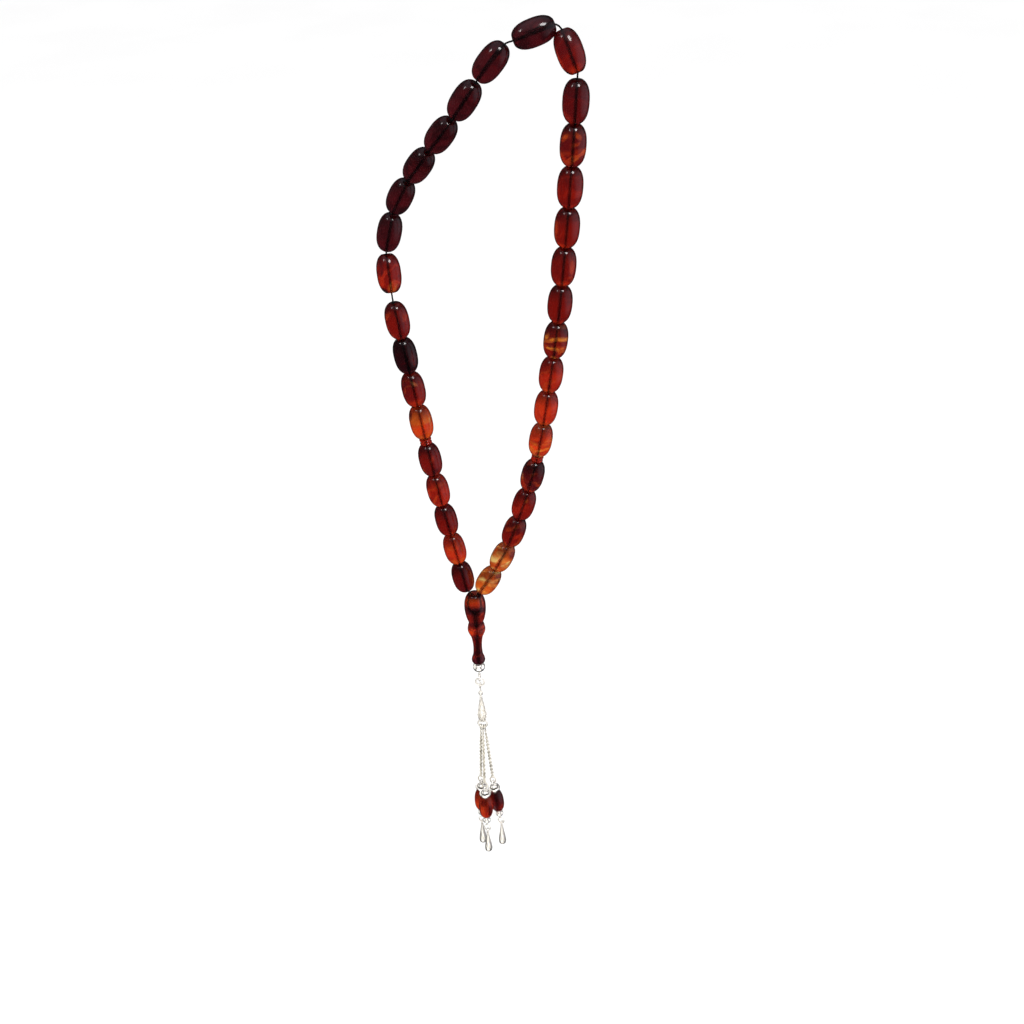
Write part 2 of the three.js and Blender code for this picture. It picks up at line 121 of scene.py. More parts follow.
STRING_RADIUS = 0.29
BORE_RADIUS = 0.46
BEAD_RADIUS = 4.0
BEAD_END_RADIUS = 1.6  # of the small flat ring round each end of the bore
TASSEL_BEAD_RADIUS = 3.0
TASSEL_BEAD_END_RADIUS = 1.3
WIRE_RADIUS = 0.27
EYE_RADIUS = 0.95
OVAL_RING_WIDTH = 1.2  # half the width of the oval end rings and lower loops
OVAL_RING_HEIGHT = 1.68
RING_WIRE_RADIUS = 0.33
JUMP_RING_RADIUS = 1.75
DROP_LOOP_RADIUS = 1.9
CHAIN_SPREAD = math.radians(28)

# heights below the place where the two arms meet
IMAME_TOP = -0.8
IMAME_BOTTOM = -34.95
IMAME_BORE_RADIUS = 1.0
CHAMBER_RADIUS = 1.8  # the wider space for the strings under the mouth
CHAMBER_BOTTOM = -8.4
BALL_CENTRE = -37.15
BALL_RADIUS = 2.38
BALL_HALF_HEIGHT = 2.05
BALL_SOCKET_BOTTOM = -38.0
JUMP_RING_TOP = -43.4
JUMP_RING_CENTRE = JUMP_RING_TOP - JUMP_RING_RADIUS
JUMP_RING_BOTTOM = JUMP_RING_CENTRE - JUMP_RING_RADIUS
DROP_TOP = -53.2
DROP_BOTTOM = -66.0
DROP_LOOP_CENTRE = -67.6

# heights below the middle of a pendant's upper eye
TOP_CAP_TOP = -1.6
TASSEL_BEAD_MIDDLE = -10.95
PIN_LOOP_CENTRE = -24.0

# ---------------------------------------------------------------- mesh building


def around(count):
    """So many angles, evenly round a circle."""
    return [2 * math.pi * i / count for i in range(count)]


class Shape:
    """Vertices and faces that grow piece by piece, in millimetres about a local origin."""

    def __init__(self):
        self.verts = []
        self.faces = []

    def grid(self, rows, closed_rows=False, cap=False):
        """Joins rings of equal length into a skin. The rings are closed; rows may close too."""
        first, sides, count = len(self.verts), len(rows[0]), len(rows)
        for row in rows:
            self.verts.extend(Vector(p) for p in row)
        for i in range(count if closed_rows else count - 1):
            a, b = first + i * sides, first + (i + 1) % count * sides
            for j in range(sides):
                k = (j + 1) % sides
                self.faces.append((a + j, a + k, b + k, b + j))
        if cap:
            self.faces.append(tuple(first + j for j in reversed(range(sides))))
            self.faces.append(tuple(first + (count - 1) * sides + j for j in range(sides)))
        return self

    def turned(self, outline, segments=48, closed=False, wave=None):
        """A skin of revolution about Z. The outline lists (radius, height) upwards outside.
        A radius of 0 at an open end closes to a point. wave(angle, radius, height) adjusts it."""
        rings = [p for p in outline if p[0] > 1e-6]
        rows = []
        for radius, height in rings:
            row = []
            for angle in around(segments):
                r = wave(angle, radius, height) if wave else radius
                row.append((r * math.cos(angle), r * math.sin(angle), height))
            rows.append(row)
        first = len(self.verts)
        self.grid(rows, closed_rows=closed)
        if not closed:
            for end, ring, flip in ((outline[0], 0, True), (outline[-1], len(rings) - 1, False)):
                if end[0] > 1e-6:
                    continue
                tip = len(self.verts)
                self.verts.append(Vector((0, 0, end[1])))
                start = first + ring * segments
                for j in range(segments):
                    a, b = start + j, start + (j + 1) % segments
                    self.faces.append((b, a, tip) if flip else (a, b, tip))
        return self

    def torus(self, radius, wire, centre=(0, 0, 0), facing="y", steps=28, sides=10, gap=0.0):
        """A wire ring that faces along X, Y or Z; gap leaves that share of it open."""
        rows = []
        count = steps if gap == 0 else steps + 1
        for i in range(count):
            a = 2 * math.pi * (gap / 2 + (1 - gap) * i / steps)
            out = Vector((math.cos(a), math.sin(a), 0))
            rows.append([
                out * (radius + wire * math.cos(t)) + UP * (wire * math.sin(t))
                for t in around(sides)
            ])
        turn = {
            "x": Matrix.Rotation(math.pi / 2, 3, "Y"),
            "y": Matrix.Rotation(math.pi / 2, 3, "X"),
            "z": Matrix.Identity(3),
        }[facing]
        rows = [[turn @ p + Vector(centre) for p in reversed(row)] for row in rows]
        return self.grid(rows, closed_rows=gap == 0, cap=gap > 0)

    def tube(self, path, radius, sides=10, section=None):
        """A round skin along a path, capped. section(angle, length so far) gives the radius."""
        path = [Vector(p) for p in path]
        normal = None
        rows, done = [], 0.0
        for i, p in enumerate(path):
            ahead = path[min(i + 1, len(path) - 1)] - path[max(i - 1, 0)]
            t = ahead.normalized()
            if normal is None:
                normal = t.orthogonal()
            normal = (normal - t * normal.dot(t)).normalized()
            side = t.cross(normal)
            if i:
                done += (p - path[i - 1]).length
            row = []
            for a in around(sides):
                r = section(a, done) if section else radius
                row.append(p + normal * (r * math.cos(a)) + side * (r * math.sin(a)))
            rows.append(row)
        return self.grid(rows, cap=True)

    def add(self, other, matrix):
        """Another shape's mesh joins this one, moved by a matrix in millimetres."""
        first = len(self.verts)
        self.verts.extend(matrix @ v for v in other.verts)
        self.faces.extend(tuple(first + i for i in face) for face in other.faces)


def piece(name, shape, place=None, sharp=35):
    """A shape as a named object. place is where its local origin and axes are, in metres."""
    mesh = bpy.data.meshes.new(name)
    mesh.from_pydata([v * MM for v in shape.verts], [], shape.faces)
    mesh.validate()
    mesh.shade_smooth()
    mesh.set_sharp_from_angle(angle=math.radians(sharp))
    thing = bpy.data.objects.new(name, mesh)
    bpy.context.scene.collection.objects.link(thing)
    if place is not None:
        thing.matrix_world = place
    return thing


def dress(thing, node, material):
    """The piece takes a CAD node's place: its body and its look."""
    thing.data.materials.append(material)
    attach(thing, BODY_OF[node])
    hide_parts(node)
    return thing


def smooth_line(points, step):
    """Points along a Catmull-Rom line through the given ones, about a step apart."""
    pts = [Vector(p) for p in points]
    pts = [pts[0] * 2 - pts[1], *pts, pts[-1] * 2 - pts[-2]]
    line = []
    for a, b, c, d in zip(pts, pts[1:], pts[2:], pts[3:]):
        ta = 0.0
        tb = ta + math.sqrt((b - a).length)
        tc = tb + math.sqrt((c - b).length)
        td = tc + math.sqrt((d - c).length)
        pieces = max(1, round((c - b).length / step))
        for i in range(pieces):
            t = tb + (tc - tb) * i / pieces
            ab = a.lerp(b, (t - ta) / (tb - ta))
            bc = b.lerp(c, (t - tb) / (tc - tb))
            cd = c.lerp(d, (t - tc) / (td - tc))
            abc = ab.lerp(bc, (t - ta) / (tc - ta))
            bcd = bc.lerp(cd, (t - tb) / (td - tb))
            line.append(abc.lerp(bcd, (t - tb) / (tc - tb)))
    line.append(pts[-2])
    return line


# ---------------------------------------------------------------- places from the frame

AXIS_STEPS = 60  # rounds of the power method, more than a bead's axis needs to settle


def bead_axes(node):
    """A bead's centre, its length and its own axes: Z along the bore upwards, Y backwards."""
    points = [v.co.copy() for v in NODES[node].data.vertices]
    centre = sum(points, Vector()) / len(points)
    axis = UP.copy()
    spread = Matrix(((0,) * 3,) * 3)
    for p in points:
        d = p - centre
        spread += Matrix([[d[i] * d[j] for j in range(3)] for i in range(3)])
    if node.startswith("spacer"):  # a disc is widest across its axis, a bead along it
        width = sum(spread[i][i] for i in range(3))
        spread = Matrix([[width * (i == j) - spread[i][j] for j in range(3)] for i in range(3)])
    for _ in range(AXIS_STEPS):
        axis = (spread @ axis).normalized()
    if axis.z < 0:
        axis.negate()
    back = (BACK - axis * BACK.dot(axis)).normalized()
    turn = Matrix((back.cross(axis), back, axis)).transposed().to_4x4()
    reach = [(p - centre).dot(axis) for p in points]
    return centre, max(reach) - min(reach), Matrix.Translation(centre) @ turn


BEADS = {n: bead_axes(n) for n in NODES if n.startswith(("bead_", "spacer_disc", "tassel_bead"))}


def bead_end(node, up):
    """The end of a bead's bore, the upper or the lower one, in metres."""
    centre, length, place = BEADS[node]
    return centre + place.to_3x3().col[2] * (length / 2 if up else -length / 2)


imame_low, imame_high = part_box("imame")
MEET = Vector(((imame_low.x + imame_high.x) / 2, (imame_low.y + imame_high.y) / 2, 0))
MEET.z = imame_high.z - IMAME_TOP * MM
PENDANTS = {}  # each pendant's place and axes, from the middle of its upper eye
LEAVES = {}  # each leaf's, from the middle of its eye
for side in ("front", "right", "left"):
    place = BEADS["tassel_bead_" + side][2]
    PENDANTS[side] = place @ Matrix.Translation(UP * -TASSEL_BEAD_MIDDLE * MM)
    low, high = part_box("leaf_" + side)
    eye = Vector(((low.x + high.x) / 2, (low.y + high.y) / 2, high.z))
    LEAVES[side] = Matrix.Translation(eye - UP * (EYE_RADIUS + WIRE_RADIUS + 0.01) * MM)


def at(place):
    return Matrix.Translation(place)


# ---------------------------------------------------------------- materials


class Nodes:
    """A short way to write a node tree."""

    def __init__(self, name, world=False):
        self.owner = (bpy.data.worlds if world else bpy.data.materials).new(name)
        self.owner.use_nodes = True
        self.tree = self.owner.node_tree
        self.tree.nodes.clear()

    def plug(self, node, values):
        """Each input takes a value, or a link where the value is another node's output."""
        for socket, value in values.items():
            if isinstance(value, bpy.types.NodeSocket):
                self.tree.links.new(value, node.inputs[socket])
            else:
                node.inputs[socket].default_value = value

    def node(self, kind, inputs=None, **settings):
        n = self.tree.nodes.new(kind)
        for key, value in settings.items():
            setattr(n, key, value)
        self.plug(n, inputs or {})
        return n

    def math(self, operation, a, b=0.0):
        return self.node("ShaderNodeMath", operation=operation, inputs={0: a, 1: b}).outputs[0]

    def mix(self, factor, a, b, blend="MIX"):
        n = self.node("ShaderNodeMix", data_type="RGBA", blend_type=blend)
        self.plug(n, {0: factor, 6: a, 7: b})
        return n.outputs[2]

    def coords(self):
        """Places on the piece about its own origin, in metres."""
        return self.node("ShaderNodeTexCoord").outputs["Object"]

    def noise(self, coords, scale, detail=2.0, output="Fac", **more):
        return self.node("ShaderNodeTexNoise", inputs={
            "Vector": coords, "Scale": scale, "Detail": detail, **more}).outputs[output]

    def spread(self, value, low, high, start=0.0, end=1.0):
        """A value that goes from low to high while the given one goes from start to end."""
        return self.node("ShaderNodeMapRange", inputs={
            "Value": value, "From Min": start, "From Max": end, "To Min": low,
            "To Max": high}).outputs[0]

    def bump(self, height, strength, distance):
        return self.node("ShaderNodeBump", inputs={
            "Height": height, "Strength": strength, "Distance": distance}).outputs[0]

    def output(self, shader, **more):
        """The material is done, with this shader on its surface."""
        self.node("ShaderNodeOutputMaterial", inputs={"Surface": shader.outputs[0], **more})
        return self.owner

    def ramp(self, factor, stops, smooth=True):
        """Stops are (position, colour or level of grey)."""
        n = self.node("ShaderNodeValToRGB", inputs={"Fac": factor})
        n.color_ramp.interpolation = "EASE" if smooth else "LINEAR"
        while len(n.color_ramp.elements) < len(stops):
            n.color_ramp.elements.new(0.5)
        for e, (pos, colour) in zip(n.color_ramp.elements, stops):
            e.position = pos
            e.color = (*colour[:3], 1) if isinstance(colour, tuple) else (*[colour] * 3, 1)
        return n.outputs["Color"]


def rgb(code):
    """A colour from its sRGB code, in linear light."""
    parts = [int(code[i : i + 2], 16) / 255 for i in (0, 2, 4)]
    return (*[c / 12.92 if c <= 0.04045 else ((c + 0.055) / 1.055) ** 2.4 for c in parts], 1.0)


NEAR_BLACK = rgb("260c14")
PLUM = rgb("531a26")
BURGUNDY = rgb("68151a")
CHERRY = rgb("8c1a11")
RED = rgb("c2321a")
FLAME = rgb("e8481a")
ORANGE = rgb("e2661e")
HONEY = rgb("f4aa3c")
STRAW = rgb("fdd880")
DEPTH_COLOUR = (0.75, 0.30, 0.14, 1)  # what a long way through the amber does to white light
LAYER_SLOPE = 0.45  # the imame's layers of colour fall this much from front to back
LAYER_WAVE = 0.0012  # and this unevenly, in metres
WARP = 0.006  # how far the streaks and veins are bent, in metres


def patch_share(m, coords, noise, place, radius, lean=0.0, stretch=1.0):
    """1 inside a ragged patch and 0 outside. Its middle and radius are in millimetres; it is
    stretched along an axis that leans by an angle from the bead's own, to the right."""
    inside = m.node("ShaderNodeMapping", vector_type="TEXTURE", inputs={
        "Vector": coords, "Location": [c * MM for c in place],
        "Rotation": (0, math.radians(lean), 0),
        "Scale": (radius * MM, radius * MM, radius * stretch * MM)})
    away = m.node("ShaderNodeVectorMath", operation="LENGTH", inputs={0: inside.outputs[0]})
    reach = m.math("ADD", away.outputs["Value"], m.math("SUBTRACT", noise, 0.5))
    return m.ramp(reach, [(0.45, 1), (1.0, 0)])


def layered(m, coords, height, clouds, bands):
    """Layers of colour, each (height in millimetres, colour), uneven and falling backwards."""
    low, high = bands[0][0] * MM, bands[-1][0] * MM
    depth = m.node("ShaderNodeSeparateXYZ", inputs={0: coords}).outputs["Y"]
    layers = m.math("ADD", height, m.math("MULTIPLY", depth, LAYER_SLOPE))
    wavy = m.math("ADD", layers, m.math("MULTIPLY", clouds, LAYER_WAVE))
    share = m.spread(wavy, 0.0, 1.0, low, high)
    return m.ramp(share, [((h * MM - low) / (high - low), colour) for h, colour in bands], smooth=False)


def wave_lines(m, coords, scale, distortion, detail_scale, phase):
    """Wavy lines across Z, from 0 to 1 and back."""
    return m.node("ShaderNodeTexWave", wave_type="BANDS", bands_direction="Z", inputs={
        "Vector": coords, "Scale": scale, "Distortion": distortion, "Detail": 3.0,
        "Detail Scale": detail_scale, "Phase Offset": phase}).outputs["Fac"]


def amber(name, body, cloud, streak, cloudy=0.4, streaky=0.3, seed=0.0, tilt=35.0, density=145.0,
          patches=(), bands=None, half=6.3, veined=0.0):
    """Clear amber: one body colour, soft clouds of another, thin curved streaks of a third, soft
    dark veins across them by the share veined, and patches, each (place in millimetres about the
    bead's own axes, radius, colour, lean, stretch). A bead is painted darker towards its upper end,
    which is half above its middle, as painted shade. Bands of (height, colour) replace the body
    colour, and then the upper end is not darkened."""
    m = Nodes(name)
    coords = m.coords()
    height = m.node("ShaderNodeSeparateXYZ", inputs={0: coords}).outputs["Z"]
    placed = m.node("ShaderNodeMapping", inputs={
        "Vector": coords, "Location": (seed, seed * 0.37, -seed * 0.61),
        "Rotation": (math.radians(tilt), math.radians(tilt * 0.7), seed)}).outputs[0]
    clouds = m.noise(placed, 170.0, 4.0, Roughness=0.55, Distortion=0.8)
    if bands:
        body = layered(m, coords, height, clouds, bands)
    cloud_share = m.ramp(clouds, [(0.62 - 0.34 * cloudy, 0), (0.76 - 0.28 * cloudy, 1)])
    colour = m.mix(cloud_share, body, cloud)
    warped = m.node("ShaderNodeVectorMath", operation="MULTIPLY_ADD", inputs={
        0: m.noise(placed, 95.0, output="Color"), 1: (WARP, WARP, WARP), 2: placed})
    lines = wave_lines(m, warped.outputs[0], 85.0, 5.0, 1.6, seed * 3)
    thin = m.ramp(lines, [(0.86 - 0.30 * streaky, 0), (0.98, 1)])
    where = m.ramp(m.noise(placed, 120.0, 1.0), [(0.46, 0), (0.56, 1)])
    streak_share = m.math("MULTIPLY", m.math("MULTIPLY", thin, where), min(1.0, streaky * 2.0))
    for place, radius, patch_colour, *form in patches:
        share = patch_share(m, coords, clouds, place, radius, *form)
        colour = m.mix(share, colour, patch_colour)
    if veined:
        crossing = m.node("ShaderNodeMapping", inputs={
            "Vector": warped.outputs[0], "Rotation": (0.4, math.radians(-60), 0.0)})
        veins = wave_lines(m, crossing.outputs[0], 62.0, 4.0, 1.4, seed * 5)
        dark = m.ramp(veins, [(0.05, 1), (0.55, 0)])
        colour = m.mix(m.math("MULTIPLY", dark, veined), colour, CHERRY)
    colour = m.mix(streak_share, colour, streak)
    # Painted shade: the colour darkens towards the bead's upper end, where the amber looks dark only
    # through how it bends the light.
    if not bands:
        end = m.spread(height, 0.0, 0.72, 0.25 * half * MM, 0.95 * half * MM)
        colour = m.mix(end, colour, NEAR_BLACK)
    grain = m.noise(coords, 900.0)
    shader = m.node("ShaderNodeBsdfPrincipled", inputs={
        "Base Color": colour, "Roughness": m.spread(grain, 0.16, 0.30), "IOR": 1.54,
        "Transmission Weight": 0.94, "Specular Tint": (0.2, 0.2, 0.2, 1), "Coat Weight": 1.0,
        "Coat Roughness": 0.11, "Coat IOR": 1.5, "Normal": m.bump(grain, 0.03, 0.0002)})
    inside = m.node("ShaderNodeVolumeAbsorption", inputs={
        "Color": DEPTH_COLOUR, "Density": density})
    return m.output(shader, Volume=inside.outputs[0])


def silver_material(name, low, high, dullest, brightest):
    """Silver whose colour runs from low where it is tarnished to high, duller there too."""
    m = Nodes(name)
    coords = m.coords()
    tarnish = m.noise(coords, 420.0, 4.0, Roughness=0.6)
    scratches = m.noise(coords, 2600.0)
    return m.output(m.node("ShaderNodeBsdfPrincipled", inputs={
        "Base Color": m.ramp(tarnish, [(0.30, low), (0.55, high)]), "Metallic": 1.0,
        "Roughness": m.spread(tarnish, dullest, brightest),
        "Normal": m.bump(scratches, 0.08, 0.0001)}))


def string_material():
    m = Nodes("black_string")
    fibres = m.noise(m.coords(), 3200.0, 3.0, Distortion=1.5)
    colour = m.ramp(fibres, [(0.3, (0.003, 0.003, 0.003)), (0.75, (0.014, 0.012, 0.013))])
    return m.output(m.node("ShaderNodeBsdfPrincipled", inputs={
        "Base Color": colour, "Roughness": 0.8, "Specular IOR Level": 0.15,
        "Normal": m.bump(fibres, 0.4, 0.0001)}))


SILVER = silver_material("polished_silver", (0.86, 0.84, 0.80), (0.98, 0.97, 0.95), 0.28, 0.12)
PALE_SILVER = silver_material("satin_silver", (0.93, 0.90, 0.84), (1.0, 0.98, 0.94), 0.45, 0.30)
CHAIN_SILVER = silver_material("chain_silver", (0.50, 0.47, 0.40), (0.96, 0.93, 0.85), 0.45, 0.25)
# A dark silver that paints shade into grooves and undersides, standing for the dark below reflected
# there.
SHADE_PAINTED_SILVER = silver_material("blackened_silver", (0.03, 0.03, 0.03), (0.10, 0.10, 0.09), 0.6, 0.4)
STRING = string_material()


def paint_shade(thing, test):
    """The silver faces where test(middle in millimetres) holds are painted dark, as painted shade."""
    thing.data.materials.append(SHADE_PAINTED_SILVER)
    for face in thing.data.polygons:
        if test(face.center / MM):
            face.material_index = len(thing.data.materials) - 1


def clear_wall_material():
    """The wet-looking walls of a space inside the amber, which light passes straight through."""
    m = Nodes("amber_inner_wall")
    haze = m.noise(m.coords(), 700.0)
    tint = m.ramp(haze, [(0.3, (0.93, 0.78, 0.70)), (0.7, (1.0, 0.92, 0.86))])
    return m.output(m.node("ShaderNodeBsdfTransparent", inputs={"Color": tint}))


INNER_WALL = clear_wall_material()

# ---------------------------------------------------------------- amber beads


def olive(length, radius, end_radius, bore=BORE_RADIUS, rows=22):
    """An olive bead: a fuller belly than an ellipse's, small flat ends and a bore."""
    power = 2.5
    stretch = (1 - (end_radius / radius) ** power) ** (-1 / power)
    half = length / 2
    belly = []
    for i in range(rows + 1):
        t = math.sin(math.pi / 2 * (2 * i / rows - 1))
        belly.append((radius * (1 - abs(t / stretch) ** power) ** (1 / power), t * half))
    rim = 0.12
    outline = [
        (bore + rim, -half + 0.01), (end_radius - rim, -half), *belly[1:-1],
        (end_radius - rim, half), (bore + rim, half - 0.01),
        (bore, half - rim), (bore, 0), (bore, -half + rim),
    ]
    return Shape().turned(outline, segments=56, closed=True)


def disc_outline():
    """A thin spool: two rounded rims with a groove between."""
    half, rim, groove, steps = 1.0, 2.2, 1.75, 12
    outline = [(BORE_RADIUS, -half), (rim - 0.35, -half)]
    for i in range(steps + 1):
        t = -1 + 2 * i / steps
        dip = math.exp(-((t / 0.42) ** 2))
        outline.append((rim - (rim - groove) * dip - 0.25 * abs(t) ** 6, t * half * 0.93))
    return [*outline, (rim - 0.35, half), (BORE_RADIUS, half)]


def look(body, cloud, streak, streaky, density, patches=(), **more):
    """A bead's amber: its three colours, how streaky and how dense it is, and its patches."""
    return dict(
        body=body, cloud=cloud, streak=streak, streaky=streaky, density=density,
        patches=patches, **more)


# Each bead's amber, from the lowest on the right arm, through the hand and down the left arm.
# A patch's place is right, back and up from the bead's middle.
# Painted light among the patches: the wide bright patch low on most beads, 3.5 to 5.6 mm under the
# middle, is a painted glow of light gathered through the amber; bead_04's small honey patch near its
# top is a painted highlight; bead_05's large near-black patch over its top, the dark patches high on
# beads 27 and 28, and the plum and cherry patches on tassel_bead_front's right side and top are painted
# shade.
BEAD_LOOKS = {
    "bead_01": look(ORANGE, FLAME, STRAW, 0.9, 16, veined=0.55, patches=[
        ((-1.2, -2.8, -3.4), 1.0, STRAW, 50, 2.0), ((-2.6, -2.0, 0.6), 0.9, STRAW, 40, 2.4),
        ((2.2, -2.0, 3.6), 2.4, BURGUNDY)]),
    "bead_02": look(ORANGE, FLAME, STRAW, 0.9, 18, veined=0.55, patches=[
        ((2.2, -2.6, 0.4), 1.2, STRAW, 35, 1.6), ((-1.4, -3.0, 3.2), 1.2, STRAW, 60, 1.8),
        ((2.6, -1.5, 3.4), 2.2, BURGUNDY)]),
    "bead_03": look(CHERRY, PLUM, ORANGE, 0.9, 130, tilt=60, patches=[
        ((-1.6, -3.0, 2.4), 1.1, ORANGE, 55, 2.6), ((1.0, -2.8, 0.4), 1.4, FLAME, 50, 2.0),
        ((0.5, -2.0, -5.0), 2.6, RED)]),
    "bead_04": look(CHERRY, RED, FLAME, 0.1, 110, [
        ((0.5, -3.2, 3.6), 0.8, HONEY, 20, 1.8), ((0.0, -2.8, 1.8), 2.4, RED)]),
    "bead_05": look(BURGUNDY, PLUM, ORANGE, 0.6, 130, [
        ((0.0, 0.0, 4.0), 5.6, NEAR_BLACK), ((-3.0, -2.2, 0.0), 0.9, STRAW, -35, 2.4),
        ((-1.5, -2.6, -3.2), 1.7, FLAME, -50, 2.0), ((0.6, -1.5, -5.2), 2.8, FLAME)]),
    "bead_06": look(FLAME, RED, HONEY, 0.6, 60, veined=0.6, patches=[
        ((0.0, -1.5, -5.6), 3.2, STRAW), ((-2.4, -2.6, -2.8), 1.5, HONEY, 60, 1.8),
        ((0.0, -3.4, 1.0), 1.3, CHERRY, 80, 2.4)]),
    "bead_07": look(RED, FLAME, ORANGE, 0.2, 85, [
        ((0.0, -2.0, -5.0), 3.0, ORANGE), ((-2.8, -2.0, 0.0), 1.4, FLAME, 0, 3.0)]),
    "bead_08": look(RED, CHERRY, ORANGE, 0.2, 95, [((0.0, -2.0, -5.0), 2.8, ORANGE)]),
    "bead_09": look(CHERRY, PLUM, HONEY, 0.9, 135, tilt=15, patches=[
        ((-2.6, -2.6, 2.2), 1.1, HONEY, 45, 2.2), ((2.0, -2.8, -2.4), 1.2, ORANGE, 45, 2.0),
        ((0.0, -1.5, -5.2), 2.2, RED)]),
    "bead_10": look(CHERRY, BURGUNDY, RED, 0.1, 150, [((0.0, -1.5, -5.4), 2.8, FLAME)]),
    "bead_11": look(CHERRY, BURGUNDY, ORANGE, 0.3, 150, [
        ((2.8, -2.4, 1.0), 1.2, ORANGE, 0, 2.4), ((0.8, -2.0, -5.0), 2.6, FLAME)]),
    "bead_12": look(CHERRY, BURGUNDY, FLAME, 0.1, 150, [
        ((-2.9, -2.2, 0.0), 1.5, ORANGE, 0, 2.8), ((-0.5, -1.5, -5.2), 2.6, FLAME)]),
    "bead_13": look(CHERRY, BURGUNDY, RED, 0.3, 155, [
        ((0.8, -3.2, 2.2), 0.7, FLAME, 10, 2.2), ((-2.6, -2.0, -1.5), 1.3, RED, 0, 2.6),
        ((0.0, -1.5, -5.2), 2.6, RED)]),
    "bead_14": look(BURGUNDY, CHERRY, ORANGE, 0.4, 125, [
        ((-2.5, -2.8, 2.6), 0.9, ORANGE, 50, 2.8), ((2.0, -3.0, 3.6), 0.9, ORANGE, -55, 2.2),
        ((1.7, -3.2, -2.8), 0.8, HONEY, 45, 2.6), ((-2.0, -2.0, -4.4), 2.2, FLAME, -30, 1.6)]),
    "bead_15": look(BURGUNDY, PLUM, RED, 0.05, 150, [((-2.0, -2.0, -4.8), 2.6, RED, -30, 1.4)]),
    "bead_16": look(BURGUNDY, CHERRY, RED, 0.1, 120, [
        ((-3.0, -2.0, -1.5), 1.6, FLAME, 0, 2.8), ((0.0, -1.5, -5.2), 2.8, FLAME)]),
    "bead_24": look(CHERRY, PLUM, FLAME, 0.4, 105, [
        ((1.6, -2.4, -4.2), 1.7, HONEY, 20, 1.5), ((-1.6, -2.6, -2.2), 1.8, FLAME, 0, 1.3),
        ((-1.4, -2.0, -5.6), 1.8, NEAR_BLACK)]),
    "bead_25": look(CHERRY, BURGUNDY, ORANGE, 0.2, 125, tilt=55, patches=[
        ((-1.8, -2.8, 3.0), 1.2, ORANGE, 45, 2.4), ((-2.4, -2.2, -1.0), 1.3, FLAME, 0, 2.4),
        ((2.0, -2.6, 0.0), 1.7, PLUM, 0, 2.6), ((0.0, -1.5, -5.4), 2.4, RED)]),
    "bead_26": look(NEAR_BLACK, PLUM, CHERRY, 0.05, 150, [
        ((2.8, -1.8, -0.5), 1.4, BURGUNDY, 0, 2.6), ((0.0, -1.5, -5.4), 2.2, BURGUNDY)]),
    "bead_27": look(CHERRY, BURGUNDY, HONEY, 0.1, 110, [
        ((1.7, -3.0, 3.6), 0.8, STRAW, -50, 2.6), ((-1.4, -2.8, 3.0), 2.0, PLUM),
        ((0.0, -1.5, -3.6), 3.8, FLAME)]),
    "bead_28": look(ORANGE, FLAME, HONEY, 0.3, 95, veined=0.4, patches=[
        ((3.3, -1.2, 0.5), 0.9, STRAW, 0, 3.2), ((-2.6, -1.8, 3.6), 2.0, PLUM)]),
    "bead_29": look(CHERRY, BURGUNDY, ORANGE, 0.2, 110, tilt=60, patches=[
        ((1.6, -2.8, 1.6), 1.2, FLAME, 30, 2.0), ((-1.8, -2.8, -2.6), 1.0, ORANGE, -45, 1.8),
        ((1.8, -2.4, -3.0), 1.8, PLUM)]),
    "bead_30": look(RED, CHERRY, ORANGE, 0.3, 100, [
        ((-2.2, -2.2, -0.5), 1.4, FLAME, 0, 2.4), ((0.0, -1.5, -4.8), 2.8, FLAME)]),
    "bead_31": look(CHERRY, BURGUNDY, RED, 0.05, 130, [
        ((0.5, -1.5, -4.8), 3.0, RED), ((-2.4, -2.2, 1.0), 1.4, PLUM, 0, 2.4)]),
    "bead_32": look(RED, FLAME, ORANGE, 0.3, 75, [
        ((0.5, -1.5, -4.0), 3.4, ORANGE), ((2.8, -1.8, 1.5), 1.6, CHERRY, 0, 2.2)]),
    "bead_33": look(BURGUNDY, CHERRY, RED, 0.05, 135, [
        ((-2.6, -2.0, -2.0), 1.5, RED, 0, 2.2), ((1.4, -2.6, 2.6), 1.6, PLUM, 0, 1.6)]),
    "tassel_bead_front": look(FLAME, RED, ORANGE, 0.3, 50, half=5.9, patches=[
        ((2.3, -1.8, -0.5), 1.8, PLUM, 0, 3.2), ((-0.4, -2.6, 4.0), 1.5, CHERRY, 0, 1.2)]),
    "tassel_bead_right": look(BURGUNDY, PLUM, CHERRY, 0.1, 85, half=5.9, patches=[
        ((1.8, -1.2, -3.5), 2.6, RED, 0, 1.5)]),
    "tassel_bead_left": look(FLAME, RED, ORANGE, 0.3, 50, half=5.9),
}
# The beads in the palm are painted dark all over: painted shade of the hand that holds them.
PALM_SHADE_LOOK = look(PLUM, NEAR_BLACK, CHERRY, 0.1, 165)
DISC_LOOK = look(RED, CHERRY, FLAME, 0.1, 200, half=3.0)

BEAD_SIZES = {
    "bead": (BEAD_RADIUS, BEAD_END_RADIUS),
    "tassel_bead": (TASSEL_BEAD_RADIUS, TASSEL_BEAD_END_RADIUS),
}
SEED_STEP = 1.7  # between two beads' seeds, so that no two have the same clouds


def make_beads():
    shared = {}
    for i, (node, (_, length, place)) in enumerate(sorted(BEADS.items())):
        kind = node.rsplit("_", 1)[0]
        if kind not in shared:
            if kind == "spacer_disc":
                shared[kind] = Shape().turned(disc_outline(), segments=48, closed=True)
            else:
                shared[kind] = olive(length / MM, *BEAD_SIZES[kind])
        bead_look = DISC_LOOK if kind == "spacer_disc" else BEAD_LOOKS.get(node, PALM_SHADE_LOOK)
        material = amber("amber_of_" + node, seed=SEED_STEP * i + 0.3, **bead_look)
        dress(piece("amber_" + node, shared[kind], place), node, material)


make_beads()

# ---------------------------------------------------------------- string

